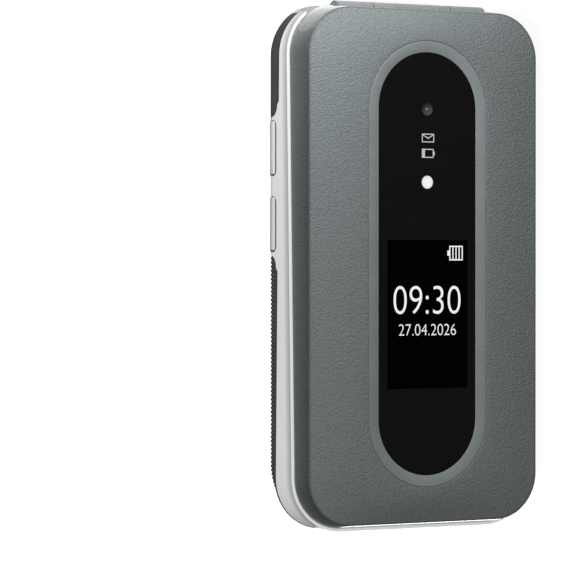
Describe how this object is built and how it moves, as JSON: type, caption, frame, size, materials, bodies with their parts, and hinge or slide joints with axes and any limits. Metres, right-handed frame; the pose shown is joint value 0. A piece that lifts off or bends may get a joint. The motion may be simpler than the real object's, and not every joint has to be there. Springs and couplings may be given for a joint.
{
  "type": "flip phone",
  "caption": "Closed clamshell phone with a grained, pillowed lid, a tall oval window with a small display, a hinged lid over a keypad, side volume keys and a ribbed back cover.",
  "frame": {"origin": "middle of the back face, on which the closed phone lies", "axes": "+Z out of the lid's front, +Y towards the hinge end, -X towards the volume keys"},
  "size_m": [0.0568, 0.1081, 0.0187],
  "materials": {
    "lid_shell": "leather grain, satin",
    "bezel": "smooth satin",
    "window_black": "polished",
    "outer_display": "polished",
    "camera_glass": "polished",
    "flash_white": "diffusing",
    "silver_frame": "satin silver",
    "side_keys": "satin silver",
    "dark_back": "fine matte",
    "ribbed_cover": "ribbed matte",
    "hinge_dark": "matte",
    "inner_frame": "fine matte",
    "deck": "fine matte",
    "digit_keys": "satin",
    "function_keys": "satin",
    "rocker": "satin silver",
    "display_glass": "polished",
    "display_module": "satin",
    "rubber": "matte",
    "silicone": "translucent",
    "steel": "bright",
    "circuit_board": "solder resist",
    "dome_film": "film",
    "battery_wrap": "wrap",
    "black_plastic": "moulded",
    "brass_contact": "plated"
  },
  "bodies": {
    "base": {"base_frame": "silver_frame", "keypad_deck": "deck", "rear_housing": "dark_back", "main_board": "circuit_board", "shield_cans": "steel", "dome_sheet": "dome_film", "keypad_mat": "silicone", "battery": "battery_wrap", "battery_contacts": "brass_contact", "charging_socket": "steel", "headset_jack": "black_plastic", "loudspeaker": "black_plastic", "microphone": "steel", "vibration_motor": "steel", "card_holder": "steel", "antenna_carrier": "black_plastic", "side_key_switches": "steel", "base_screws": "steel", "base_hinge_knuckle": "hinge_dark", "hinge_pin": "steel", "hinge_spring": "steel"},
    "lid": {"lid_outer_shell": "lid_shell", "window_bezel": "bezel", "outer_window": "window_black", "outer_display": "outer_display", "camera_module": "black_plastic", "camera_lens": "camera_glass", "flash_lens": "flash_white", "lid_board": "circuit_board", "lid_inner_frame": "inner_frame", "lid_screws": "steel", "lid_bumpers": "rubber", "lid_magnet": "steel", "main_display_window": "display_glass", "main_display": "display_module", "earpiece_receiver": "black_plastic", "lid_hinge_knuckles": "hinge_dark", "hinge_cam": "steel"},
    "battery_cover": {"battery_cover": "ribbed_cover"},
    "volume_up_key": {"volume_up_key": "side_keys"},
    "volume_down_key": {"volume_down_key": "side_keys"},
    "key_1": {"key_1": "digit_keys"},
    "key_2": {"key_2": "digit_keys"},
    "key_3": {"key_3": "digit_keys"},
    "key_4": {"key_4": "digit_keys"},
    "key_5": {"key_5": "digit_keys"},
    "key_6": {"key_6": "digit_keys"},
    "key_7": {"key_7": "digit_keys"},
    "key_8": {"key_8": "digit_keys"},
    "key_9": {"key_9": "digit_keys"},
    "key_0": {"key_0": "digit_keys"},
    "key_star": {"key_star": "digit_keys"},
    "key_hash": {"key_hash": "digit_keys"},
    "soft_key_left": {"soft_key_left": "function_keys"},
    "soft_key_right": {"soft_key_right": "function_keys"},
    "call_key": {"call_key": "function_keys"},
    "end_key": {"end_key": "function_keys"},
    "ok_key": {"ok_key": "function_keys"},
    "navigation_rocker": {"navigation_rocker": "rocker"}
  },
  "joints": [
    {"name": "lid_hinge", "type": "hinge", "parent": "base", "child": "lid", "pos_m": [0, 0.0516, 0.01032], "axis": [-1, 0, 0], "range_deg": [0, 160]},
    {"name": "battery_cover_slide", "type": "slide", "parent": "base", "child": "battery_cover", "axis": [0, -0.9999, -0.0169], "range_m": [0, 0.006]},
    {"name": "volume_up_press", "type": "slide", "parent": "base", "child": "volume_up_key", "axis": [1, 0, 0], "range_m": [0, 0.00035], "stiffness_N_per_m": 2500},
    {"name": "volume_down_press", "type": "slide", "parent": "base", "child": "volume_down_key", "axis": [1, 0, 0], "range_m": [0, 0.00035], "stiffness_N_per_m": 2500},
    {"name": "key_1_press", "type": "slide", "parent": "base", "child": "key_1", "axis": [0, -0.0241, -0.9997], "range_m": [0, 0.0003], "stiffness_N_per_m": 2500},
    {"name": "key_2_press", "type": "slide", "parent": "base", "child": "key_2", "axis": [0, -0.0241, -0.9997], "range_m": [0, 0.0003], "stiffness_N_per_m": 2500},
    {"name": "key_3_press", "type": "slide", "parent": "base", "child": "key_3", "axis": [0, -0.0241, -0.9997], "range_m": [0, 0.0003], "stiffness_N_per_m": 2500},
    {"name": "key_4_press", "type": "slide", "parent": "base", "child": "key_4", "axis": [0, -0.0241, -0.9997], "range_m": [0, 0.0003], "stiffness_N_per_m": 2500},
    {"name": "key_5_press", "type": "slide", "parent": "base", "child": "key_5", "axis": [0, -0.0241, -0.9997], "range_m": [0, 0.0003], "stiffness_N_per_m": 2500},
    {"name": "key_6_press", "type": "slide", "parent": "base", "child": "key_6", "axis": [0, -0.0241, -0.9997], "range_m": [0, 0.0003], "stiffness_N_per_m": 2500},
    {"name": "key_7_press", "type": "slide", "parent": "base", "child": "key_7", "axis": [0, -0.0241, -0.9997], "range_m": [0, 0.0003], "stiffness_N_per_m": 2500},
    {"name": "key_8_press", "type": "slide", "parent": "base", "child": "key_8", "axis": [0, -0.0241, -0.9997], "range_m": [0, 0.0003], "stiffness_N_per_m": 2500},
    {"name": "key_9_press", "type": "slide", "parent": "base", "child": "key_9", "axis": [0, -0.0241, -0.9997], "range_m": [0, 0.0003], "stiffness_N_per_m": 2500},
    {"name": "key_0_press", "type": "slide", "parent": "base", "child": "key_0", "axis": [0, -0.0241, -0.9997], "range_m": [0, 0.0003], "stiffness_N_per_m": 2500},
    {"name": "key_star_press", "type": "slide", "parent": "base", "child": "key_star", "axis": [0, -0.0241, -0.9997], "range_m": [0, 0.0003], "stiffness_N_per_m": 2500},
    {"name": "key_hash_press", "type": "slide", "parent": "base", "child": "key_hash", "axis": [0, -0.0241, -0.9997], "range_m": [0, 0.0003], "stiffness_N_per_m": 2500},
    {"name": "soft_key_left_press", "type": "slide", "parent": "base", "child": "soft_key_left", "axis": [0, -0.0241, -0.9997], "range_m": [0, 0.0003], "stiffness_N_per_m": 2500},
    {"name": "soft_key_right_press", "type": "slide", "parent": "base", "child": "soft_key_right", "axis": [0, -0.0241, -0.9997], "range_m": [0, 0.0003], "stiffness_N_per_m": 2500},
    {"name": "call_key_press", "type": "slide", "parent": "base", "child": "call_key", "axis": [0, -0.0241, -0.9997], "range_m": [0, 0.0003], "stiffness_N_per_m": 2500},
    {"name": "end_key_press", "type": "slide", "parent": "base", "child": "end_key", "axis": [0, -0.0241, -0.9997], "range_m": [0, 0.0003], "stiffness_N_per_m": 2500},
    {"name": "ok_key_press", "type": "slide", "parent": "base", "child": "ok_key", "axis": [0, -0.0241, -0.9997], "range_m": [0, 0.0003], "stiffness_N_per_m": 2500},
    {"name": "navigation_rocker_tilt", "type": "hinge", "parent": "base", "child": "navigation_rocker", "pos_m": [0, 0.02795, 0.00899], "axis": [1, 0, 0], "range_deg": [-1.2, 1.2], "stiffness_Nm_per_rad": 0.2}
  ]
}
